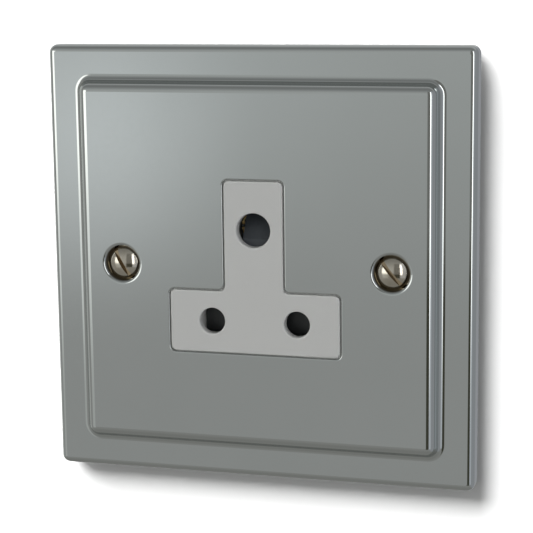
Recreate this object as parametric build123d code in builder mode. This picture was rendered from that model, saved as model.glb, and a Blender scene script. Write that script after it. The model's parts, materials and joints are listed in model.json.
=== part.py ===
from build123d import *
import os
from math import cos, radians, sin, tan

os.makedirs("parts", exist_ok=True)

# Round pin wall socket on a pressed, polished metal plate.
# Frame: origin at the middle of the plate on the wall plane, +X right, +Z up.
# The plate faces -Y. Everything behind the wall plane has a positive y.

# Pressed front plate
plate_size = 95.0
plate_corner_r = 1.8
sheet = 1.0
rim_height = 4.2
rim_edge_r = 1.5
panel_height = 7.4
panel_size = 78.0
panel_corner_r = 1.6
step_draft = 18.0
step_top_r = 2.0
step_foot_r = 1.6

# Screws that hold the plate to the wall box
plate_screw_pitch = 60.3
plate_screw_r = 1.75
plate_screw_length = 25.0
plate_screw_neck_r = 1.5
plate_screw_neck = 3.4
plate_screw_head_r = 3.35
plate_screw_dome = 1.25
plate_screw_slot = 0.85
plate_screw_slot_depth = 1.0
slot_turn_left = -60.0
slot_turn_right = -49.0
dimple_r = 4.3
dimple_lip_r = 0.8
dimple_hole_gap = 0.25
dimple_rear = 3.1
head_seat_gap = 0.05

# White face moulding with its T-shaped pad
tee_width = 38.0
tee_height = 37.6
tee_stem = 13.1
tee_arm_height = 13.5
tee_corner_r = 1.2
tee_gap = 0.28
tee_proud = 0.1
tee_edge_r = 0.25
cutout_edge_r = 0.3
face_wall = 2.0
flange_width = 46.0
flange_inset = 3.25
flange_corner_r = 3.0
flange_thickness = 2.5
box_width = 45.0
face_depth = 5.4

# Pin positions and sizes
pin_pitch = 19.05
live_line_z = -11.9
earth_z = 8.2
pin_r = 2.54
earth_pin_r = 3.53
pin_hole_gap = 0.31
earth_hole_gap = 0.22
hole_lip_r = 0.4

# Shutter that the earth pin pushes down, and its spring
shutter_gap = 0.25
shutter_stop_gap = 0.1
shutter_back_gap = 0.15
bar_cover = 0.025
bar_height = 6.6
bar_thickness = 1.5
spine_width = 5.8
spine_front_gap = 0.2
ramp_angle = 30.0
ramp_over_earth = 4.0
ramp_tip = 0.6
shutter_travel = 7.6
earth_pocket_width = 9.8
earth_pocket_top_gap = 1.0
spring_r = 1.5
spring_wire = 0.4
spring_turns = 7.0
spring_solid_length = 3.1
spring_end_gap = 0.05
spigot_r = 0.9
spigot_length = 1.2

# Rear moulding
rear_depth = 18.0
rear_edge_r = 1.2
pocket_gap = 0.3
core_wall = 2.5
core_inner_x = 8.0
core_height = 10.0
core_z = 11.4
core_depth = 13.0
mid_core_width = 11.0
mid_core_height = 9.0
mid_core_lift = 0.7
core_corner_r = 1.0
wire_entry_r = 2.6
block_ledge = 1.0

# Pin sleeves with their terminal blocks, and the clips round the sleeves
sleeve_wall = 0.9
sleeve_gap = 0.06
sleeve_front = 0.3
sleeve_length = 9.5
earth_sleeve_length = 14.0
sleeve_slit = 0.7
sleeve_slit_length = 6.0
sleeve_mouth_chamfer = 0.4
clip_wall = 0.5
clip_width = 3.6
clip_back = 1.2
clip_gap = 0.03
clip_opening = 1.6
block_width = 8.4
block_height = 8.0
block_front = 5.0
block_depth = 8.2
block_x = 11.5
block_floor = 2.0
strap_screw_room = 6.65
web_width = 3.0
web_depth = 3.4
web_overlap = 0.5
wire_hole_r = 2.0
terminal_screw_r = 1.95
terminal_screw_length = 5.6
terminal_head_r = 3.0
terminal_head_height = 1.9
terminal_stand_off = 0.6
thread_gap = 0.05

# Small fasteners
housing_screw_inset = 4.2
housing_screw_r = 1.45
housing_screw_seat = 12.0
housing_screw_length = 16.4
housing_head_r = 2.8
housing_head_height = 2.0
housing_head_gap = 0.3
stud_r = 1.5
stud_inset_x = 6.0
stud_inset_z = 3.25
stud_length = 7.6
stud_hole_gap = 0.15
nut_across_flats = 5.5
nut_height = 2.2
nut_gap = 0.2
washer_r = 3.2
washer_height = 0.5
slot_width = 0.8
slot_depth = 0.9

# Strap that joins the earth block to the plate
strap_width = 6.0
strap_thickness = 0.8
strap_bend_r = 1.0
strap_lift = 0.65
strap_overhang = 0.3
strap_foot_margin = 2.7
strap_screw_back = 4.0
strap_screw_r = 1.45
strap_screw_length = 4.4
strap_head_r = 2.6
strap_head_height = 1.8

# Levels along y that several pieces share
panel_back_y = sheet - panel_height
flange_back_y = panel_back_y + flange_thickness
face_back_y = panel_back_y + face_depth
pad_front_y = -panel_height - tee_proud
pocket_front_y = pad_front_y + face_wall
rear_back_y = face_back_y + rear_depth
sleeve_front_y = face_back_y + sleeve_front
block_back_y = block_front + block_depth
wire_y = block_front + block_depth / 2
strap_screw_y = block_front + strap_screw_back

# Radii that follow from the pins
pin_hole_r = pin_r + pin_hole_gap
earth_hole_r = earth_pin_r + earth_hole_gap
pin_x = pin_pitch / 2
screw_x = plate_screw_pitch / 2
pin_bore_r = pin_r + sleeve_gap
earth_bore_r = earth_pin_r + sleeve_gap

# The flange fits in the hollow of the panel, the studs in the flange, the box between the studs
flange_height = panel_size - 2 * flange_inset
stud_x = flange_width / 2 - stud_inset_x
stud_z = flange_height / 2 - stud_inset_z
strap_back_z = stud_z - nut_across_flats / 2 - nut_gap - strap_bend_r - strap_thickness / 2
box_height = 2 * (strap_back_z - strap_lift)
housing_screw_x = box_width / 2 - housing_screw_inset

# The terminal blocks stand on the floor of the box and hang from the strap
block_z = block_floor + block_height / 2 - box_height / 2
earth_block_top = strap_back_z
earth_block_z = earth_block_top - strap_screw_room
core_width = box_width / 2 - core_wall - core_inner_x
core_x = core_inner_x + core_width / 2
mid_core_z = block_z + mid_core_lift


def facing(y):
    """A plane at world y that looks out of the wall: its local y is +Z, its normal is -Y."""
    return Plane.XZ.offset(-y)


def save(piece, name):
    """Label a finished piece and write its file."""
    piece.label = name
    export_step(piece, f"parts/{name}.step")


def pressed_form(inset):
    """One skin of the pressed plate: the outside at no inset, the hollow at one sheet."""
    turn = radians(90 - step_draft)
    rim = rim_height - inset
    rise = panel_height - rim_height
    spread = rise * tan(radians(step_draft))
    shift = inset * tan(turn / 2)
    foot = panel_size - 2 * shift + 2 * spread
    foot_corner_r = panel_corner_r - shift + spread
    with BuildPart() as form:
        with BuildSketch(Plane.XZ):
            size = plate_size - 2 * inset
            RectangleRounded(size, size, plate_corner_r - inset)
        extrude(amount=rim)
        with BuildSketch(facing(-rim)):
            RectangleRounded(foot, foot, foot_corner_r)
        extrude(amount=rise, taper=step_draft)
        front = form.faces().filter_by(Axis.Y).sort_by(Axis.Y)
        foot_edges = front[1].inner_wires()[0].edges()
        fillet(foot_edges, step_foot_r + inset)
        fillet(form.faces().sort_by(Axis.Y)[0].edges(), step_top_r - inset)
        rim_face = form.faces().filter_by(Axis.Y).sort_by(Axis.Y)[1]
        fillet(rim_face.outer_wire().edges(), rim_edge_r - inset)
    return form.part


def tee_sketch(y, grow):
    """The inverted T of the pad, grown by a gap on every side."""
    with BuildSketch(facing(y)) as tee:
        Rectangle(tee_stem + 2 * grow, tee_height + 2 * grow)
        with Locations((0, (tee_arm_height - tee_height) / 2)):
            Rectangle(tee_width + 2 * grow, tee_arm_height + 2 * grow)
        fillet(tee.vertices(), tee_corner_r)
    return tee.sketch


def hexagon_nut(places, y, bore_r):
    """Nuts that sit on the plane at y, one at each place."""
    with BuildPart() as nuts:
        with BuildSketch(facing(y)):
            with Locations(*places):
                RegularPolygon(nut_across_flats / 2, 6, major_radius=False)
                Circle(bore_r, mode=Mode.SUBTRACT)
        extrude(amount=-nut_height)
    return nuts.part


def slotted_screw(shank_r, length, head_r, head_height):
    """A cheese-head screw on +Z with the underside of its head at z = 0."""
    with BuildPart() as screw:
        with BuildSketch():
            Circle(shank_r)
        extrude(amount=-length)
        chamfer(screw.edges().sort_by(Axis.Z)[0], shank_r / 4)
        with BuildSketch():
            Circle(head_r)
        extrude(amount=head_height)
        fillet(screw.edges().sort_by(Axis.Z)[-1], head_height / 4)
        with BuildSketch(Plane.XY.offset(head_height)):
            Rectangle(3 * head_r, slot_width)
        extrude(amount=-slot_depth, mode=Mode.SUBTRACT)
    return screw.part


def pin_sleeve(x, z, inner_r, length):
    """A split tube for one pin, with its mouth towards the front."""
    with BuildPart() as sleeve:
        with BuildSketch(facing(sleeve_front_y)):
            with Locations((x, z)):
                Circle(inner_r + sleeve_wall)
        extrude(amount=-length)
        with BuildSketch(facing(sleeve_front_y)):
            with Locations((x, z)):
                Circle(inner_r)
        extrude(amount=-length, mode=Mode.SUBTRACT)
        mouth = sleeve.faces().sort_by(Axis.Y)[0].edges().sort_by(SortBy.RADIUS)[0]
        chamfer(mouth, sleeve_mouth_chamfer)
        with BuildSketch(facing(sleeve_front_y)):
            with Locations((x, z)):
                Rectangle(3 * inner_r, sleeve_slit)
        extrude(amount=-sleeve_slit_length, mode=Mode.SUBTRACT)
    return sleeve.part


def contact(sleeve, block, wire_along):
    """One piece of brass: a sleeve (x, z, bore radius, length), a web and a terminal block."""
    x, z, bore_r, length = sleeve
    block_middle_x, low_z, high_z, screw_z = block
    inward = 1 if z > screw_z else -1
    web_end_z = high_z if z > screw_z else low_z
    web_start_z = z - inward * (bore_r + sleeve_wall / 2)
    web_stop_z = web_end_z - inward * web_overlap
    with BuildPart() as brass:
        add(pin_sleeve(x, z, bore_r, length))
        with BuildSketch(facing(sleeve_front_y + length)):
            with Locations((x, (web_start_z + web_stop_z) / 2)):
                Rectangle(web_width, abs(web_start_z - web_stop_z))
        extrude(amount=web_depth)
        with BuildSketch(facing(block_back_y)):
            with Locations((block_middle_x, (low_z + high_z) / 2)):
                Rectangle(block_width, high_z - low_z)
        extrude(amount=block_depth)
        if wire_along == Axis.Z:
            with BuildSketch(Plane.XY.offset(low_z)):
                with Locations((block_middle_x, wire_y)):
                    Circle(wire_hole_r)
            extrude(amount=high_z - low_z, mode=Mode.SUBTRACT)
        else:
            with BuildSketch(Plane.YZ.offset(block_middle_x)):
                with Locations((wire_y, screw_z)):
                    Circle(wire_hole_r)
            extrude(amount=block_width, both=True, mode=Mode.SUBTRACT)
        with BuildSketch(facing(block_back_y)):
            with Locations((block_middle_x, screw_z)):
                Circle(terminal_screw_r + thread_gap)
        extrude(amount=block_depth / 2, mode=Mode.SUBTRACT)
    return brass.part


def spring_clip(x, z, inner_r):
    """A C-shaped band that squeezes a split sleeve, open at the top."""
    with BuildPart() as clip:
        with BuildSketch(facing(sleeve_front_y + clip_back)):
            with Locations((x, z)):
                Circle(inner_r + clip_wall)
                Circle(inner_r, mode=Mode.SUBTRACT)
            with Locations((x, z + inner_r)):
                Rectangle(clip_opening, inner_r, mode=Mode.SUBTRACT)
        extrude(amount=-clip_width)
    return clip.part


# Front plate: one pressed sheet with a stepped panel, a T cut-out and two screw dimples
outer_skin = pressed_form(0)
inner_skin = pressed_form(sheet)
cone_offset = sheet / cos(radians(45))
with BuildPart() as front_plate:
    add(outer_skin)
    add(inner_skin, mode=Mode.SUBTRACT)
    for side in (-1, 1):
        axis = Axis((side * screw_x, 0, 0), (0, 1, 0))
        with BuildSketch(Plane.XY) as cup:
            with BuildLine():
                Polyline(
                    (side * screw_x, panel_back_y),
                    (side * screw_x + dimple_r - sheet + cone_offset, panel_back_y),
                    (side * screw_x + dimple_r - dimple_rear + cone_offset, dimple_rear - panel_height),
                    (side * screw_x, dimple_rear - panel_height),
                    close=True,
                )
            make_face()
        revolve(axis=axis)
        with BuildSketch(Plane.XY) as funnel:
            hole_r = plate_screw_r + dimple_hole_gap
            with BuildLine():
                Polyline(
                    (side * screw_x, -panel_height),
                    (side * screw_x + dimple_r, -panel_height),
                    (side * screw_x + hole_r, dimple_r - hole_r - panel_height),
                    (side * screw_x + hole_r, 0),
                    (side * screw_x, 0),
                    close=True,
                )
            make_face()
        revolve(axis=axis, mode=Mode.SUBTRACT)
    front_face = front_plate.faces().filter_by(Axis.Y).sort_by(Axis.Y)[0]
    fillet(front_face.inner_wires().edges(), dimple_lip_r)
    extrude(tee_sketch(-panel_height, tee_gap), amount=-2 * sheet, mode=Mode.SUBTRACT)
    front_face = front_plate.faces().filter_by(Axis.Y).sort_by(Axis.Y)[0]
    tee_edges = front_face.inner_wires().sort_by(SortBy.LENGTH)[-1].edges()
    fillet(tee_edges, cutout_edge_r)
save(front_plate.part, "front_plate")

# Plate screws: raised countersunk heads in the dimples, each slot left where it stopped
seat_drop = dimple_r - plate_screw_head_r - head_seat_gap
head_edge_y = seat_drop - panel_height
for name, side, turn in (("left", -1, slot_turn_left), ("right", 1, slot_turn_right)):
    place = Plane(
        origin=(side * screw_x, head_edge_y, 0),
        x_dir=(cos(radians(turn)), 0, sin(radians(turn))),
        z_dir=(0, -1, 0),
    )
    with BuildPart() as plate_screw:
        with BuildSketch(Plane.XZ):
            cone_end = plate_screw_head_r - plate_screw_neck_r
            thread_start = plate_screw_neck + plate_screw_r - plate_screw_neck_r
            with BuildLine():
                Line((0, plate_screw_dome), (0, -plate_screw_length))
                Line((0, -plate_screw_length), (plate_screw_r - 0.5, -plate_screw_length))
                Line((plate_screw_r - 0.5, -plate_screw_length), (plate_screw_r, 0.5 - plate_screw_length))
                Line((plate_screw_r, 0.5 - plate_screw_length), (plate_screw_r, -thread_start))
                Line((plate_screw_r, -thread_start), (plate_screw_neck_r, -plate_screw_neck))
                Line((plate_screw_neck_r, -plate_screw_neck), (plate_screw_neck_r, -cone_end))
                Line((plate_screw_neck_r, -cone_end), (plate_screw_head_r, 0))
                RadiusArc(
                    (plate_screw_head_r, 0),
                    (0, plate_screw_dome),
                    -(plate_screw_head_r**2 + plate_screw_dome**2) / (2 * plate_screw_dome),
                )
            make_face()
        revolve(axis=Axis.Z)
        with BuildSketch(Plane.XY.offset(plate_screw_dome)):
            Rectangle(3 * plate_screw_head_r, plate_screw_slot)
        extrude(amount=-plate_screw_slot_depth, mode=Mode.SUBTRACT)
    save(plate_screw.part.moved(place.location), f"plate_screw_{name}")

# Face moulding: the T pad, the flange behind the plate and the box that holds the shutter
shutter_back_y = face_back_y - shutter_back_gap
spine_front_y = pocket_front_y + spine_front_gap
ramp_top_z = earth_z + ramp_over_earth
ramp_depth = shutter_back_y - spine_front_y - ramp_tip
ramp_height = ramp_depth / tan(radians(ramp_angle))
bar_bottom_z = live_line_z - bar_height / 2
bar_top_z = live_line_z + bar_height / 2
channel_bottom_z = bar_bottom_z - shutter_travel - shutter_gap
spring_floor_z = bar_bottom_z - shutter_travel - spring_solid_length
bar_width = pin_pitch + 2 * (pin_hole_r + bar_cover)
pin_places = ((-pin_x, live_line_z), (pin_x, live_line_z))
stud_places = [(x, z) for x in (-stud_x, stud_x) for z in (-stud_z, stud_z)]
with BuildPart() as face_moulding:
    with BuildSketch(facing(flange_back_y)):
        RectangleRounded(flange_width, flange_height, flange_corner_r)
    extrude(amount=flange_thickness)
    with BuildSketch(facing(face_back_y)):
        RectangleRounded(box_width, box_height, flange_corner_r)
    extrude(amount=face_depth - flange_thickness)
    extrude(tee_sketch(panel_back_y, 0), amount=panel_back_y - pad_front_y)
    pad_front = face_moulding.faces().sort_by(Axis.Y)[0]
    fillet(pad_front.edges(), tee_edge_r)
    with BuildSketch(facing(face_back_y)) as shutter_channel:
        with Locations((0, (bar_top_z + shutter_stop_gap + channel_bottom_z) / 2)):
            Rectangle(bar_width + 2 * shutter_gap, bar_top_z + shutter_stop_gap - channel_bottom_z)
        with Locations((0, (bar_top_z + earth_z) / 2)):
            Rectangle(spine_width + 2 * shutter_gap, earth_z - bar_top_z)
        pocket_top_z = ramp_top_z + earth_pocket_top_gap
        pocket_bottom_z = earth_z - earth_hole_r - shutter_gap
        with Locations((0, (pocket_top_z + pocket_bottom_z) / 2)):
            Rectangle(earth_pocket_width, pocket_top_z - pocket_bottom_z)
        with Locations((0, (channel_bottom_z + spring_floor_z) / 2)):
            Rectangle(spine_width + 2 * shutter_gap, channel_bottom_z - spring_floor_z)
    extrude(amount=face_back_y - pocket_front_y, mode=Mode.SUBTRACT)
    with BuildSketch(facing(pad_front_y)):
        with Locations((0, earth_z)):
            Circle(earth_hole_r)
        with Locations(*pin_places):
            Circle(pin_hole_r)
    extrude(amount=-face_wall, mode=Mode.SUBTRACT)
    pad_front = face_moulding.faces().sort_by(Axis.Y)[0]
    fillet(pad_front.inner_wires().edges(), hole_lip_r)
    with BuildSketch(facing(panel_back_y)):
        with Locations(*stud_places, (0, stud_z)):
            Circle(stud_r + stud_hole_gap)
    extrude(amount=-flange_thickness, mode=Mode.SUBTRACT)
    screw_reach = housing_screw_length - housing_screw_seat + face_back_y
    with BuildSketch(facing(face_back_y)):
        with Locations((-housing_screw_x, 0), (housing_screw_x, 0)):
            Circle(housing_screw_r + thread_gap)
    extrude(amount=screw_reach + pocket_gap, mode=Mode.SUBTRACT)
save(face_moulding.part, "face_moulding")

# Shutter: a bar across the two lower holes on a spine that ends in the ramp for the earth pin
with BuildPart() as shutter:
    with BuildSketch(facing(shutter_back_y)):
        with Locations((0, live_line_z)):
            Rectangle(bar_width, bar_height)
    extrude(amount=bar_thickness)
    with BuildSketch(Plane.YZ):
        with BuildLine():
            Polyline(
                (shutter_back_y, bar_bottom_z),
                (spine_front_y, bar_bottom_z),
                (spine_front_y, ramp_top_z - ramp_height),
                (shutter_back_y - ramp_tip, ramp_top_z),
                (shutter_back_y, ramp_top_z),
                close=True,
            )
        make_face()
    extrude(amount=spine_width / 2, both=True)
    spring_y = (shutter_back_y + spine_front_y) / 2
    with BuildSketch(Plane.XY.offset(bar_bottom_z)):
        with Locations((0, spring_y)):
            Circle(spigot_r)
    extrude(amount=-spigot_length)
save(shutter.part, "shutter")

# Shutter spring: a closed-and-ground coil between the spine and the floor of its channel
spring_top_z = bar_bottom_z - spring_end_gap
spring_bottom_z = spring_floor_z + spring_end_gap
spring_length = spring_top_z - spring_bottom_z
spring_pitch = spring_length / spring_turns
with BuildPart() as shutter_spring:
    with BuildLine():
        coil = Helix(spring_pitch, spring_length, spring_r, center=(0, spring_y, spring_bottom_z))
    with BuildSketch(Plane(origin=coil @ 0, z_dir=coil % 0)):
        Circle(spring_wire / 2)
    sweep(path=coil, is_frenet=True)
    for z, keep in ((spring_bottom_z, Keep.TOP), (spring_top_z, Keep.BOTTOM)):
        split(bisect_by=Plane.XY.offset(z), keep=keep)
save(shutter_spring.part, "shutter_spring")

# Contacts, with the clip round each sleeve and the screw in each terminal block
block_low_z = block_z - block_height / 2
block_high_z = block_z + block_height / 2
earth_block_low_z = earth_block_z - block_height / 2
sleeves = {
    "neutral": (-pin_x, live_line_z, pin_bore_r, sleeve_length),
    "line": (pin_x, live_line_z, pin_bore_r, sleeve_length),
    "earth": (0, earth_z, earth_bore_r, earth_sleeve_length),
}
blocks = {
    "neutral": (-block_x, block_low_z, block_high_z, block_z),
    "line": (block_x, block_low_z, block_high_z, block_z),
    "earth": (0, earth_block_low_z, earth_block_top, earth_block_z),
}
terminal_screw = slotted_screw(
    terminal_screw_r, terminal_screw_length, terminal_head_r, terminal_head_height
)
for name in ("neutral", "line", "earth"):
    x, z, bore_r, length = sleeves[name]
    block_middle_x, low_z, high_z, screw_z = blocks[name]
    brass = contact(sleeves[name], blocks[name], Axis.X if name == "earth" else Axis.Z)
    if name == "earth":
        with BuildPart() as tapped:
            add(brass)
            with BuildSketch(Plane.XY.offset(earth_block_top)):
                with Locations((0, strap_screw_y)):
                    Circle(strap_screw_r + thread_gap)
            extrude(amount=-strap_screw_length, mode=Mode.SUBTRACT)
        brass = tapped.part
    save(brass, f"contact_{name}")
    save(spring_clip(x, z, bore_r + sleeve_wall + clip_gap), f"clip_{name}")
    screw_place = Plane(origin=(block_middle_x, block_back_y + terminal_stand_off, screw_z), z_dir=(0, 1, 0))
    save(terminal_screw.moved(screw_place.location), f"terminal_screw_{name}")

# Rear moulding: pockets for the contacts from the front, windows and cores from the rear
with BuildPart() as rear_moulding:
    with BuildSketch(facing(face_back_y)):
        RectangleRounded(box_width, box_height, flange_corner_r)
    extrude(amount=-rear_depth)
    fillet(rear_moulding.faces().sort_by(Axis.Y)[-1].edges(), rear_edge_r)
    for name in ("neutral", "line", "earth"):
        x, z, bore_r, length = sleeves[name]
        block_middle_x, low_z, high_z, screw_z = blocks[name]
        pocket_r = bore_r + sleeve_wall + clip_gap + clip_wall + pocket_gap
        with BuildSketch(facing(face_back_y)):
            with Locations((x, z)):
                Circle(pocket_r)
            with Locations((x, (z + screw_z) / 2)):
                Rectangle(web_width + 2 * pocket_gap, abs(z - screw_z))
        extrude(amount=-sleeve_front - length - pocket_gap, mode=Mode.SUBTRACT)
        with BuildSketch(facing(face_back_y)):
            with Locations((block_middle_x, (low_z + high_z) / 2)):
                Rectangle(block_width + 2 * pocket_gap, high_z - low_z + 2 * pocket_gap)
        extrude(amount=face_back_y - block_back_y - pocket_gap, mode=Mode.SUBTRACT)
        with BuildSketch(facing(rear_back_y)):
            with Locations((block_middle_x, screw_z)):
                RectangleRounded(block_width - block_ledge, block_height - block_ledge, core_corner_r)
        extrude(amount=rear_back_y - block_back_y, mode=Mode.SUBTRACT)
    for side in (-1, 1):
        with BuildSketch(Plane.XY.offset(-box_height / 2)):
            with Locations((side * block_x, wire_y)):
                Circle(wire_entry_r)
            with Locations((side * block_x, (wire_y + rear_back_y) / 2)):
                Rectangle(2 * wire_entry_r, rear_back_y - wire_y)
        extrude(amount=box_height / 2 + block_z, mode=Mode.SUBTRACT)
        with BuildSketch(facing(rear_back_y)):
            with Locations((side * core_x, core_z)):
                RectangleRounded(core_width, core_height, core_corner_r)
        extrude(amount=core_depth, mode=Mode.SUBTRACT)
        with BuildSketch(facing(rear_back_y)):
            with Locations((side * housing_screw_x, 0)):
                Circle(housing_head_r + housing_head_gap)
        extrude(amount=rear_back_y - housing_screw_seat, mode=Mode.SUBTRACT)
        with BuildSketch(facing(rear_back_y)):
            with Locations((side * housing_screw_x, 0)):
                Circle(housing_screw_r + stud_hole_gap)
        extrude(amount=rear_depth, mode=Mode.SUBTRACT)
    with BuildSketch(Plane.YZ):
        with Locations((wire_y, earth_block_z)):
            Circle(wire_entry_r)
        with Locations(((wire_y + rear_back_y) / 2, earth_block_z)):
            Rectangle(rear_back_y - wire_y, 2 * wire_entry_r)
    extrude(amount=box_width, both=True, mode=Mode.SUBTRACT)
    with BuildSketch(facing(rear_back_y)):
        with Locations((0, mid_core_z)):
            RectangleRounded(mid_core_width, mid_core_height, core_corner_r)
    extrude(amount=core_depth, mode=Mode.SUBTRACT)
save(rear_moulding.part, "rear_moulding")

# Screws that hold the two mouldings together
housing_screw = slotted_screw(
    housing_screw_r, housing_screw_length, housing_head_r, housing_head_height
)
with BuildPart() as housing_screws:
    for side in (-1, 1):
        place = Plane(origin=(side * housing_screw_x, housing_screw_seat, 0), z_dir=(0, 1, 0))
        add(housing_screw.moved(place.location))
save(housing_screws.part, "housing_screws")

# Studs on the back of the plate, with the washers and nuts that clamp the flange
with BuildPart() as fixing_studs:
    with BuildSketch(facing(panel_back_y)):
        with Locations(*stud_places):
            Circle(stud_r)
    extrude(amount=-stud_length)
save(fixing_studs.part, "fixing_studs")

with BuildPart() as fixing_washers:
    with BuildSketch(facing(flange_back_y)):
        with Locations(*stud_places):
            Circle(washer_r)
            Circle(stud_r + thread_gap, mode=Mode.SUBTRACT)
    extrude(amount=-washer_height)
save(fixing_washers.part, "fixing_washers")
save(hexagon_nut(stud_places, flange_back_y + washer_height, stud_r + thread_gap), "fixing_nuts")

with BuildPart() as earth_stud:
    with BuildSketch(facing(panel_back_y)):
        with Locations((0, stud_z)):
            Circle(stud_r)
    extrude(amount=-stud_length)
save(earth_stud.part, "earth_stud")

# Earth strap: its foot lies under the nut of the earth stud, its riser on the earth block
with BuildPart() as earth_strap:
    with BuildSketch(Plane.YZ):
        with BuildLine():
            bend = FilletPolyline(
                (block_back_y + strap_overhang, earth_block_top + strap_thickness / 2),
                (flange_back_y + strap_thickness / 2, earth_block_top + strap_thickness / 2),
                (flange_back_y + strap_thickness / 2, stud_z + strap_foot_margin),
                radius=strap_bend_r,
            )
            offset(bend, amount=strap_thickness / 2, side=Side.BOTH)
        make_face()
    extrude(amount=strap_width / 2, both=True)
    with BuildSketch(facing(flange_back_y)):
        with Locations((0, stud_z)):
            Circle(stud_r + stud_hole_gap)
    extrude(amount=-2 * strap_thickness, mode=Mode.SUBTRACT)
    with BuildSketch(Plane.XY.offset(earth_block_top)):
        with Locations((0, strap_screw_y)):
            Circle(strap_screw_r + stud_hole_gap)
    extrude(amount=2 * strap_thickness, mode=Mode.SUBTRACT)
save(earth_strap.part, "earth_strap")
save(hexagon_nut([(0, stud_z)], flange_back_y + strap_thickness, stud_r + thread_gap), "earth_stud_nut")

strap_screw = slotted_screw(strap_screw_r, strap_screw_length, strap_head_r, strap_head_height)
strap_screw_place = Plane.XY.offset(earth_block_top + strap_thickness)
strap_screw_place.origin = Vector(0, strap_screw_y, earth_block_top + strap_thickness)
save(strap_screw.moved(strap_screw_place.location), "earth_strap_screw")
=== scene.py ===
import json
from math import ceil, cos, degrees, pi, radians, sin

import bmesh
import bpy
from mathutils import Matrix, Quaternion, Vector


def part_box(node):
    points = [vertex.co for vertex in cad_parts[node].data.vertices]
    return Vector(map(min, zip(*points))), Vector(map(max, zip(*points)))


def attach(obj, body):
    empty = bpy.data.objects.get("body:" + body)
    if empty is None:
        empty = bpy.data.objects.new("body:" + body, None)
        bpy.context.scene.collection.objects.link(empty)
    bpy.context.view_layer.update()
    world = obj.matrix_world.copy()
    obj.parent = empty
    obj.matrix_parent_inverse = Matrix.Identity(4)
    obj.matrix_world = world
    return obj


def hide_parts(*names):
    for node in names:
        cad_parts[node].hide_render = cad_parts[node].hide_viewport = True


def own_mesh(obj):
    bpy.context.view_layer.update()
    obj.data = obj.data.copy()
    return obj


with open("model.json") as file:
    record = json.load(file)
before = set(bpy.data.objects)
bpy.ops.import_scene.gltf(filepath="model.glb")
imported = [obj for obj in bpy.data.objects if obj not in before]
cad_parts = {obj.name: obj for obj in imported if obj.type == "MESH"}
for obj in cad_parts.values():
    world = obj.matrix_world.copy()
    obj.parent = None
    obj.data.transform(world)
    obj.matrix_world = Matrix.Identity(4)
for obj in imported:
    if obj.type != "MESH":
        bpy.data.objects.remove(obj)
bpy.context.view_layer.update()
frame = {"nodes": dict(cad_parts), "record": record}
nodes = frame["nodes"]
record = frame["record"]

# Lengths are in metres
MM = 0.001

# The plate screws: their places, and how their driver slots lie, seen from the front
SCREW_X = sum(corner[0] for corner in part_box("plate_screw_right")) / 2
SCREW_SIDES = {"left": -1, "right": 1}
SLOT_TURNS = {"left": radians(-60), "right": radians(-49)}
SLOT_HALF_WIDTH = 0.43 * MM
HEAD_BACK_Y = -4.5 * MM

# Where painted shade darkens the dimples round the screws: away from the screw's axis, and down from the
# panel
DIMPLE_EDGE = (3.95 * MM, 4.35 * MM)
DIMPLE_LIP_Y = (-7.3 * MM, -6.9 * MM)

# The heights between which the painted shade on the shutter's two lower bars gives way to its sloped end
SHUTTER_SHADE_Z = (-4 * MM, 0)

# Threads run from the far end: on the plate screws up to the plain neck, on the M3 studs up to a
# short plain foot. The crest and each flank are given as shares of half the pitch.
SCREW_THREAD = {"radius": 1.75 * MM, "pitch": 0.6 * MM, "depth": 0.36 * MM, "chamfer": 0.5 * MM}
SCREW_THREAD_LENGTH = 21.35 * MM
STUD_THREAD = {"radius": 1.5 * MM, "pitch": 0.5 * MM, "depth": 0.30 * MM, "chamfer": 0.3 * MM}
STUD_PLAIN_LENGTH = 2.2 * MM
THREAD_SIDES = 32
THREAD_ROWS_PER_PITCH = 12
CREST_SHARE = 0.15
FLANK_SHARE = 0.65

# How far a face of the plain shank may start before its thread does
FACE_TOLERANCE = 0.01 * MM

# The values that a noise mostly keeps between, and those for stains and mottle
NOISE_SPAN = (0.3, 0.7)
STAIN_SPAN = (0.35, 0.7)

# Wall and floor, each fading out between two distances from its middle; the plate overlaps the
# edges of the wall's opening
WALL_Y = 1.6 * MM
WALL_FADE = (0.14, 0.24)
WALL_OVERLAP = 10 * MM
FLOOR_Z = -0.35
FLOOR_FADE = (1.0, 1.6)

# The light tent's brightness goes by direction, in degrees. Azimuth is 0 straight out of the
# plate and positive to the right, elevation is above the horizon, and pitch runs from the front
# over the top to the back. Each grade leads softly from one angle to its own colour at another.
TENT_RADIUS = 3.0
TENT_BASE = (0.37, 0.375, 0.37)
TENT_GRADES = (
    ("elevation", -15, 0, (0.46, 0.475, 0.47)),
    ("elevation", -17, -24, (0.30, 0.30, 0.29)),
    ("elevation", -24, -60, (0.25, 0.25, 0.24)),
    ("pitch", 8, 66, (0.23, 0.235, 0.235)),
    ("pitch", 72, 118, (0.50, 0.51, 0.51)),
)

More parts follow.
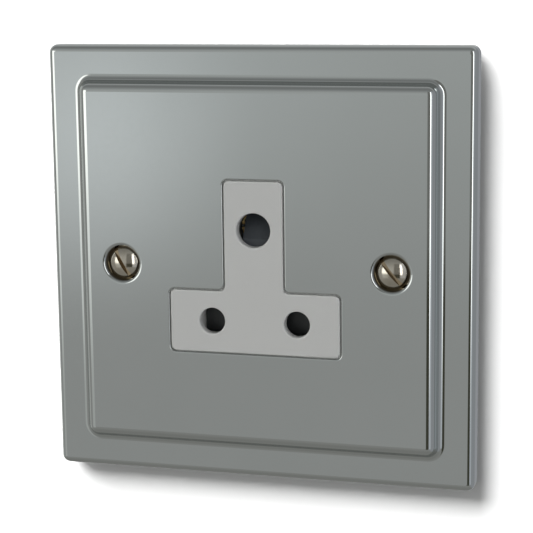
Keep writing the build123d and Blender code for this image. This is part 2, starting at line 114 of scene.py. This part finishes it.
# Each card is a soft-edged patch that lies over what comes before it: its left and right azimuth,
# its lower and upper elevation, how soft its sides and its ends are, and its colour
TENT_CARDS = (
    (-40, -14.5, -7, 2, 5, 4.5, (0.52, 0.54, 0.54)),
    (-25, -20.3, -8.6, -1.5, 4.5, 4.5, (0.83, 0.86, 0.875)),
    (58, 178, -45, 40, 5, 8, (0.33, 0.34, 0.36)),
    (-178, -92, -30, 30, 5, 4, (0.56, 0.57, 0.56)),
    (-92, -57, -30, 30, 5, 4, (0.32, 0.32, 0.31)),
    (-57, -27, -28, 20, 3, 4, (0.48, 0.49, 0.48)),
    (-57, -27, -11, 14, 3, 4, (1.10, 1.12, 1.10)),
    (-57, -27, -6.8, 14, 3, 2.2, (1.75, 1.76, 1.70)),
    (3, 34, -28, 40, 2, 3, (0.20, 0.20, 0.19)),
    (3, 34, -28, -10, 2, 1.5, (0.06, 0.06, 0.045)),
    (34, 60, -28, 40, 2, 3, (0.50, 0.52, 0.56)),
    (34, 43, -12, 34, 2, 5, (3.2, 3.2, 3.2)),
)

# Camera of the photograph: places in metres, lens and sensor in millimetres
CAMERA_AT = Vector((0.1049, -0.3558, 0.0659))
CAMERA_LOOKS_AT = Vector((0.0020, -0.0043, 0.0))
CAMERA_ROLL = radians(-0.673)
CAMERA_LENS = 116.3
CAMERA_SENSOR = 36.0
CAMERA_CLIP = (0.01, 20.0)


class Shader:
    """A small builder for one node tree: each call adds a node and returns its output."""

    def __init__(self, tree):
        self.tree = tree
        tree.nodes.clear()

    def add(self, kind, **settings):
        node = self.tree.nodes.new(kind)
        for key, value in settings.items():
            setattr(node, key, value)
        return node

    def put(self, socket, value):
        """Links an output to the socket, or sets the socket's own value."""
        if isinstance(value, bpy.types.NodeSocket):
            self.tree.links.new(value, socket)
        elif isinstance(value, tuple) and socket.type == "RGBA":
            socket.default_value = (*value, 1.0)
        else:
            socket.default_value = value

    def math(self, operation, a, b=0.0):
        node = self.add("ShaderNodeMath", operation=operation)
        for socket, value in zip(node.inputs, (a, b)):
            self.put(socket, value)
        return node.outputs[0]

    def ramp(self, value, low, high, out_low=0.0, out_high=1.0):
        """Value led softly from low..high to out_low..out_high, and held beyond the ends."""
        node = self.add("ShaderNodeMapRange", interpolation_type="SMOOTHSTEP")
        for socket, number in zip(node.inputs, (value, low, high, out_low, out_high)):
            self.put(socket, number)
        return node.outputs[0]

    def mix(self, share, a, b):
        """Colour a where share is 0, colour b where it is 1."""
        node = self.add("ShaderNodeMix", data_type="RGBA")
        self.put(node.inputs[0], share)
        self.put(node.inputs[6], a)
        self.put(node.inputs[7], b)
        return node.outputs[2]

    def noise(self, where, scale, detail, rough=0.5, stretch=None):
        """Noise from 0 to 1; a small stretch on an axis draws it out along that axis."""
        if stretch is not None:
            mapping = self.add("ShaderNodeMapping")
            self.put(mapping.inputs["Vector"], where)
            mapping.inputs["Scale"].default_value = stretch
            where = mapping.outputs[0]
        node = self.add("ShaderNodeTexNoise")
        self.put(node.inputs["Vector"], where)
        node.inputs["Scale"].default_value = scale
        node.inputs["Detail"].default_value = detail
        node.inputs["Roughness"].default_value = rough
        return node.outputs["Fac"]

    def place(self):
        """The point in the part's own frame, in metres."""
        return self.add("ShaderNodeTexCoord").outputs["Object"]

    def split(self, vector):
        """The x, y and z of a vector."""
        node = self.add("ShaderNodeSeparateXYZ")
        self.put(node.inputs[0], vector)
        return node.outputs

    def bump(self, height, strength, distance, under=None):
        node = self.add("ShaderNodeBump")
        node.inputs["Strength"].default_value = strength
        node.inputs["Distance"].default_value = distance
        self.put(node.inputs["Height"], height)
        if under is not None:
            self.put(node.inputs["Normal"], under)
        return node.outputs[0]

    def surface(self, color, roughness, normal, metallic=0.0):
        """The Principled shader, on the output."""
        principled = self.add("ShaderNodeBsdfPrincipled")
        self.put(principled.inputs["Base Color"], color)
        self.put(principled.inputs["Roughness"], roughness)
        self.put(principled.inputs["Normal"], normal)
        principled.inputs["Metallic"].default_value = metallic
        self.show(principled.outputs[0])

    def show(self, shader, output="ShaderNodeOutputMaterial"):
        self.put(self.add(output).inputs["Surface"], shader)


def new_material(name):
    """An empty material, and the builder of its nodes."""
    material = bpy.data.materials.new(name)
    material.use_nodes = True
    return material, Shader(material.node_tree)


def add_to_scene(name, data):
    """A new object with this mesh, lamp or camera."""
    thing = bpy.data.objects.new(name, data)
    bpy.context.scene.collection.objects.link(thing)
    return thing


def dimple_shade_ring(s, where):
    """1 in the wall of the dimples round the two plate screws, where shade is painted into the plate's
    colour; 0 elsewhere.
    """
    x, y, z = s.split(where)
    across = s.math("SUBTRACT", s.math("ABSOLUTE", x), SCREW_X)
    radius = s.math("SQRT", s.math("ADD", s.math("POWER", across, 2.0), s.math("POWER", z, 2.0)))
    inside = s.ramp(radius, *DIMPLE_EDGE, 1, 0)
    return s.math("MULTIPLY", inside, s.ramp(y, *DIMPLE_LIP_Y))


def driver_slot_shade(s, where):
    """1 inside the driver slots of the plate screws, where shade is painted; 0 elsewhere."""
    x, y, z = s.split(where)
    share = 0.0
    for side, sign in SCREW_SIDES.items():
        turn = SLOT_TURNS[side]
        across = s.math("SUBTRACT", x, sign * SCREW_X)
        off_line = s.math("SUBTRACT", s.math("MULTIPLY", across, sin(turn)), s.math("MULTIPLY", z, cos(turn)))
        inside = s.math("LESS_THAN", s.math("ABSOLUTE", off_line), SLOT_HALF_WIDTH)
        this_side = s.math("LESS_THAN", s.math("MULTIPLY", x, -sign), 0.0)
        share = s.math("ADD", share, s.math("MULTIPLY", inside, this_side))
    return s.math("MULTIPLY", share, s.math("LESS_THAN", y, HEAD_BACK_Y))


def polished_plate():
    """Bright polished plate: a mirror with a faint mottle, hairline polishing marks and painted shade in the
    dimples round the screws.
    """
    material, s = new_material("polished_plate_look")
    where = s.place()
    mottle = s.noise(where, scale=900, detail=3, rough=0.6)
    clouds = s.noise(where, scale=60, detail=2)
    hairlines = s.noise(where, scale=900, detail=2, stretch=(0.06, 1, 1.6))
    color = s.mix(clouds, (0.585, 0.612, 0.600), (0.615, 0.638, 0.628))
    # Painted shade: the dimple walls round the screws are darkened to a dark brown
    color = s.mix(dimple_shade_ring(s, where), color, (0.085, 0.070, 0.045))
    roughness = s.ramp(mottle, *STAIN_SPAN, 0.035, 0.075)
    normal = s.bump(mottle, strength=0.05, distance=0.02 * MM)
    normal = s.bump(hairlines, strength=0.04, distance=0.01 * MM, under=normal)
    s.surface(color, roughness, normal, metallic=1.0)
    return material


def white_moulding():
    """Smooth white urea moulding with a very fine orange peel."""
    material, s = new_material("white_moulding_look")
    where = s.place()
    peel = s.noise(where, scale=2500, detail=2)
    clouds = s.noise(where, scale=120, detail=2)
    color = s.mix(clouds, (0.775, 0.775, 0.760), (0.795, 0.795, 0.780))
    roughness = s.ramp(clouds, *NOISE_SPAN, 0.30, 0.38)
    s.surface(color, roughness, s.bump(peel, strength=0.06, distance=0.02 * MM))
    return material


def rear_plastic():
    """Matt thermoset housing with a grainy spark-eroded skin."""
    material, s = new_material("rear_plastic_look")
    where = s.place()
    grain = s.noise(where, scale=3500, detail=3, rough=0.6)
    clouds = s.noise(where, scale=90, detail=3)
    color = s.mix(clouds, (0.60, 0.60, 0.575), (0.66, 0.66, 0.64))
    roughness = s.ramp(grain, *NOISE_SPAN, 0.48, 0.62)
    s.surface(color, roughness, s.bump(grain, strength=0.25, distance=0.04 * MM))
    return material


def dark_shutter():
    """Dark grey nylon shutter with faint slide marks, and painted shade darkening its two lower bars."""
    material, s = new_material("dark_shutter_look")
    where = s.place()
    height = s.split(where)[2]
    marks = s.noise(where, scale=1500, detail=2, stretch=(1, 1, 0.08))
    color = s.mix(marks, (0.040, 0.046, 0.054), (0.062, 0.070, 0.080))
    # Painted shade: below the sloped end the shutter's colour is darkened to near black
    color = s.mix(s.ramp(height, *SHUTTER_SHADE_Z), (0.024, 0.026, 0.027), color)
    roughness = s.ramp(marks, *NOISE_SPAN, 0.34, 0.46)
    s.surface(color, roughness, s.bump(marks, strength=0.1, distance=0.02 * MM))
    return material


def turned_metal(name, dark, light, smoothest, roughest, slot_shade_color=None):
    """Machined or plated metal: small stains, fine tool marks and a slightly uneven gloss; where a slot shade
    colour is given, painted shade in the screws' driver slots.
    """
    material, s = new_material(name)
    where = s.place()
    stains = s.noise(where, scale=250, detail=3, rough=0.55)
    marks = s.noise(where, scale=2600, detail=2, stretch=(1, 0.25, 1))
    color = s.mix(s.ramp(stains, *STAIN_SPAN), dark, light)
    # Painted shade: the driver slots are coloured a darker warm brown
    if slot_shade_color is not None:
        color = s.mix(driver_slot_shade(s, where), color, slot_shade_color)
    roughness = s.ramp(marks, *NOISE_SPAN, smoothest, roughest)
    s.surface(color, roughness, s.bump(marks, strength=0.12, distance=0.02 * MM), metallic=1.0)
    return material


def make_materials():
    """One look for each material slot of the record."""
    return {
        "polished_plate": polished_plate(),
        "white_moulding": white_moulding(),
        "rear_plastic": rear_plastic(),
        "dark_shutter": dark_shutter(),
        # The nickel screws' driver slots get painted shade in a warm brown
        "nickel_screw": turned_metal(
            "nickel_screw_look", dark=(0.60, 0.55, 0.46), light=(0.70, 0.66, 0.58),
            smoothest=0.09, roughest=0.16, slot_shade_color=(0.44, 0.35, 0.23),
        ),
        "brass_contact": turned_metal(
            "brass_contact_look", dark=(0.66, 0.47, 0.20), light=(0.78, 0.60, 0.30),
            smoothest=0.20, roughest=0.32,
        ),
        "spring_steel": turned_metal(
            "spring_steel_look", dark=(0.42, 0.43, 0.44), light=(0.56, 0.57, 0.58),
            smoothest=0.22, roughest=0.34,
        ),
        "zinc_steel": turned_metal(
            "zinc_steel_look", dark=(0.56, 0.58, 0.60), light=(0.70, 0.71, 0.70),
            smoothest=0.24, roughest=0.38,
        ),
    }


def dress_nodes(looks):
    """Each CAD node takes the look of its slot in the record."""
    for part in record["subparts"]:
        for slot in nodes[part["node"]].material_slots:
            slot.material = looks[part["material_slot"]]


def stand_in(name, mesh, node_name):
    """A new piece that is fixed to the socket and replaces one CAD node in the picture."""
    piece = add_to_scene(name, mesh)
    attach(piece, "socket")
    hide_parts(node_name)
    return piece


def threaded_rod(form, x, z, start, end, thread_from, radius, pitch, depth, chamfer):
    """Adds a closed rod along Y with a helical thread and a chamfer at its far end."""
    rows = ceil((end - start) / pitch * THREAD_ROWS_PER_PITCH)
    rings = []
    for row in range(rows + 1):
        y = start + (end - start) * row / rows
        turns = (y - thread_from) / pitch
        chamfered = min(radius, radius - chamfer + end - y)
        run_in = min(1.0, max(0.0, turns))
        ring = []
        for side in range(THREAD_SIDES):
            phase = (turns - side / THREAD_SIDES) % 1.0
            groove = min(1.0, max(0.0, (abs(2 * phase - 1) - CREST_SHARE) / FLANK_SHARE))
            r = min(chamfered, radius - depth * run_in * groove)
            angle = 2 * pi * side / THREAD_SIDES
            ring.append(form.verts.new((x + r * cos(angle), y, z + r * sin(angle))))
        rings.append(ring)
    for near, far in zip(rings, rings[1:]):
        for side in range(THREAD_SIDES):
            other = (side + 1) % THREAD_SIDES
            form.faces.new((near[side], near[other], far[other], far[side])).smooth = True
    form.faces.new(rings[-1][::-1])
    form.faces.new(rings[0])


def thread_plate_screws():
    """Each plate screw keeps its head and neck, and its plain shank gives way to a real thread."""
    for side, sign in SCREW_SIDES.items():
        name = "plate_screw_" + side
        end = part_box(name)[1][1]
        start = end - SCREW_THREAD_LENGTH
        mesh = nodes[name].data.copy()
        form = bmesh.new()
        form.from_mesh(mesh)
        front_y = start - FACE_TOLERANCE
        shank = [face for face in form.faces if min(v.co.y for v in face.verts) > front_y]
        bmesh.ops.delete(form, geom=shank, context="FACES")
        threaded_rod(form, sign * SCREW_X, 0.0, start, end, start, **SCREW_THREAD)
        form.to_mesh(mesh)
        form.free()
        stand_in(name + "_threaded", mesh, name)


def thread_studs(look):
    """The fixing studs and the earth stud, threaded up to their washers."""
    inset = STUD_THREAD["radius"]
    for name in ("fixing_studs", "earth_stud"):
        low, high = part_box(name)
        if name == "earth_stud":
            places = [((low[0] + high[0]) / 2, (low[2] + high[2]) / 2)]
        else:
            columns = (low[0] + inset, high[0] - inset)
            levels = (low[2] + inset, high[2] - inset)
            places = [(x, z) for x in columns for z in levels]
        form = bmesh.new()
        for x, z in places:
            threaded_rod(form, x, z, low[1], high[1], low[1] + STUD_PLAIN_LENGTH, **STUD_THREAD)
        mesh = bpy.data.meshes.new(name + "_threaded")
        form.to_mesh(mesh)
        form.free()
        mesh.materials.append(look)
        stand_in(name + "_threaded", mesh, name)


def working_spring():
    """The shutter spring, as a stand-in with its own copy of the CAD mesh."""
    mesh = nodes["shutter_spring"].data.copy()
    piece = stand_in("working_spring", mesh, "shutter_spring")
    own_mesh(piece)


def pale_world():
    """Plain white behind everything."""
    world = bpy.data.worlds.new("pale_world")
    bpy.context.scene.world = world
    world.use_nodes = True
    s = Shader(world.node_tree)
    background = s.add("ShaderNodeBackground")
    s.put(background.inputs["Color"], (1.0, 1.0, 1.0))
    s.show(background.outputs[0], "ShaderNodeOutputWorld")


def tent_angles(s):
    """The direction to a point of the tent, as azimuth, elevation and pitch in degrees."""
    outward = s.add("ShaderNodeVectorMath", operation="NORMALIZE")
    s.put(outward.inputs[0], s.place())
    x, y, z = s.split(outward.outputs["Vector"])
    forward = s.math("MULTIPLY", y, -1.0)
    angles = {
        "azimuth": s.math("ARCTAN2", x, forward),
        "elevation": s.math("ARCSINE", z),
        "pitch": s.math("ARCTAN2", z, forward),
    }
    return {name: s.math("MULTIPLY", angle, degrees(1)) for name, angle in angles.items()}


def soft_window(s, value, low, high, softness):
    """1 between low and high and 0 outside, with edges that are soft by this much each way."""
    rise = s.ramp(value, low - softness, low + softness)
    fall = s.ramp(value, high - softness, high + softness, 1, 0)
    return s.math("MULTIPLY", rise, fall)


def studio_tent():
    """The light tent round the object: a large glowing dome that the camera doesn't see."""
    mesh = bpy.data.meshes.new("tent")
    form = bmesh.new()
    bmesh.ops.create_uvsphere(form, u_segments=48, v_segments=24, radius=TENT_RADIUS)
    form.to_mesh(mesh)
    form.free()
    tent = add_to_scene("tent", mesh)
    material, s = new_material("tent_glow")
    angles = tent_angles(s)
    light = TENT_BASE
    for measure, start, end, level in TENT_GRADES:
        light = s.mix(s.ramp(angles[measure], start, end), light, level)
    for left, right, low, high, soft_side, soft_end, level in TENT_CARDS:
        across = soft_window(s, angles["azimuth"], left, right, soft_side)
        upright = soft_window(s, angles["elevation"], low, high, soft_end)
        light = s.mix(s.math("MULTIPLY", across, upright), light, level)
    glow = s.add("ShaderNodeEmission")
    s.put(glow.inputs["Color"], light)
    s.show(glow.outputs[0])
    mesh.materials.append(material)
    tent.visible_camera = False
    tent.visible_shadow = False


def pale_paint(name, fade_start, fade_end):
    """White paint that fades out softly with distance, and that is clear from behind."""
    material, s = new_material(name)
    where = s.place()
    distance = s.add("ShaderNodeVectorMath", operation="LENGTH")
    s.put(distance.inputs[0], where)
    grain = s.noise(where, scale=40, detail=3)
    paint = s.add("ShaderNodeBsdfDiffuse")
    s.put(paint.inputs["Color"], s.mix(grain, (0.53, 0.53, 0.53), (0.55, 0.55, 0.55)))
    clear = s.add("ShaderNodeBsdfTransparent")
    near = s.ramp(distance.outputs["Value"], fade_start, fade_end, 1, 0)
    in_front = s.math("SUBTRACT", 1.0, s.add("ShaderNodeNewGeometry").outputs["Backfacing"])
    blend = s.add("ShaderNodeMixShader")
    s.put(blend.inputs[0], s.math("MULTIPLY", near, in_front))
    s.put(blend.inputs[1], clear.outputs[0])
    s.put(blend.inputs[2], paint.outputs[0])
    s.show(blend.outputs[0])
    return material


def backdrop(name, corners, faces, fade):
    """A painted sheet that takes shadows, but isn't mirrored in the object and doesn't light it."""
    mesh = bpy.data.meshes.new(name)
    mesh.from_pydata(corners, [], faces)
    mesh.materials.append(pale_paint(name + "_look", *fade))
    sheet = add_to_scene(name, mesh)
    sheet.visible_glossy = False
    sheet.visible_diffuse = False
    return sheet


def pale_floor():
    """A plain pale floor, some way below the socket."""
    half = FLOOR_FADE[1]
    corners = [(-half, -half, 0), (half, -half, 0), (half, half, 0), (-half, half, 0)]
    floor = backdrop("floor", corners, [(0, 1, 2, 3)], FLOOR_FADE)
    floor.location.z = FLOOR_Z
    return floor


def pale_wall():
    """The wall that the plate sits on, with the opening that the housing goes into."""
    low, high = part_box("front_plate")
    opening = (high[0] - low[0]) / 2 - WALL_OVERLAP
    corners = []
    for half in (WALL_FADE[1], opening):
        corners += [(-half, 0, -half), (half, 0, -half), (half, 0, half), (-half, 0, half)]
    faces = []
    for side in range(4):
        following = (side + 1) % 4
        faces.append((side, following, 4 + following, 4 + side))
    wall = backdrop("wall", corners, faces, WALL_FADE)
    wall.location.y = WALL_Y
    return wall


def sun(name, energy, spread, comes_from):
    """A distant lamp; its spread in degrees softens the shadows."""
    data = bpy.data.lights.new(name, "SUN")
    data.energy = energy
    data.angle = radians(spread)
    lamp = add_to_scene(name, data)
    lamp.rotation_mode = "QUATERNION"
    lamp.rotation_quaternion = Vector(comes_from).to_track_quat("Z", "Y")
    lamp.visible_glossy = False
    return lamp


def studio_lamps(backdrops):
    """Two soft lamps, overhead and from the front, and one that lights the backdrops alone."""
    sun("overhead", energy=2.3, spread=30, comes_from=(-0.35, 0.12, 1.0))
    sun("front_fill", energy=0.27, spread=40, comes_from=(0.20, -1.0, -0.15))
    wash = sun("backdrop_wash", energy=16.5, spread=50, comes_from=(-1.0, -1.0, 1.66))
    lit = bpy.data.collections.new("backdrops")
    for sheet in backdrops:
        lit.objects.link(sheet)
    wash.light_linking.receiver_collection = lit


def make_camera():
    """The camera of the photograph, a little above the socket and to its right."""
    data = bpy.data.cameras.new("camera")
    data.lens = CAMERA_LENS
    data.sensor_width = CAMERA_SENSOR
    data.clip_start, data.clip_end = CAMERA_CLIP
    camera = add_to_scene("camera", data)
    aim = (CAMERA_AT - CAMERA_LOOKS_AT).to_track_quat("Z", "Y")
    camera.location = CAMERA_AT
    camera.rotation_mode = "QUATERNION"
    camera.rotation_quaternion = aim @ Quaternion((0, 0, 1), CAMERA_ROLL)
    bpy.context.scene.camera = camera


looks = make_materials()
dress_nodes(looks)
thread_plate_screws()
thread_studs(looks["zinc_steel"])
working_spring()
pale_world()
studio_tent()
studio_lamps([pale_wall(), pale_floor()])
make_camera()
bpy.context.scene.view_settings.view_transform = "Standard"
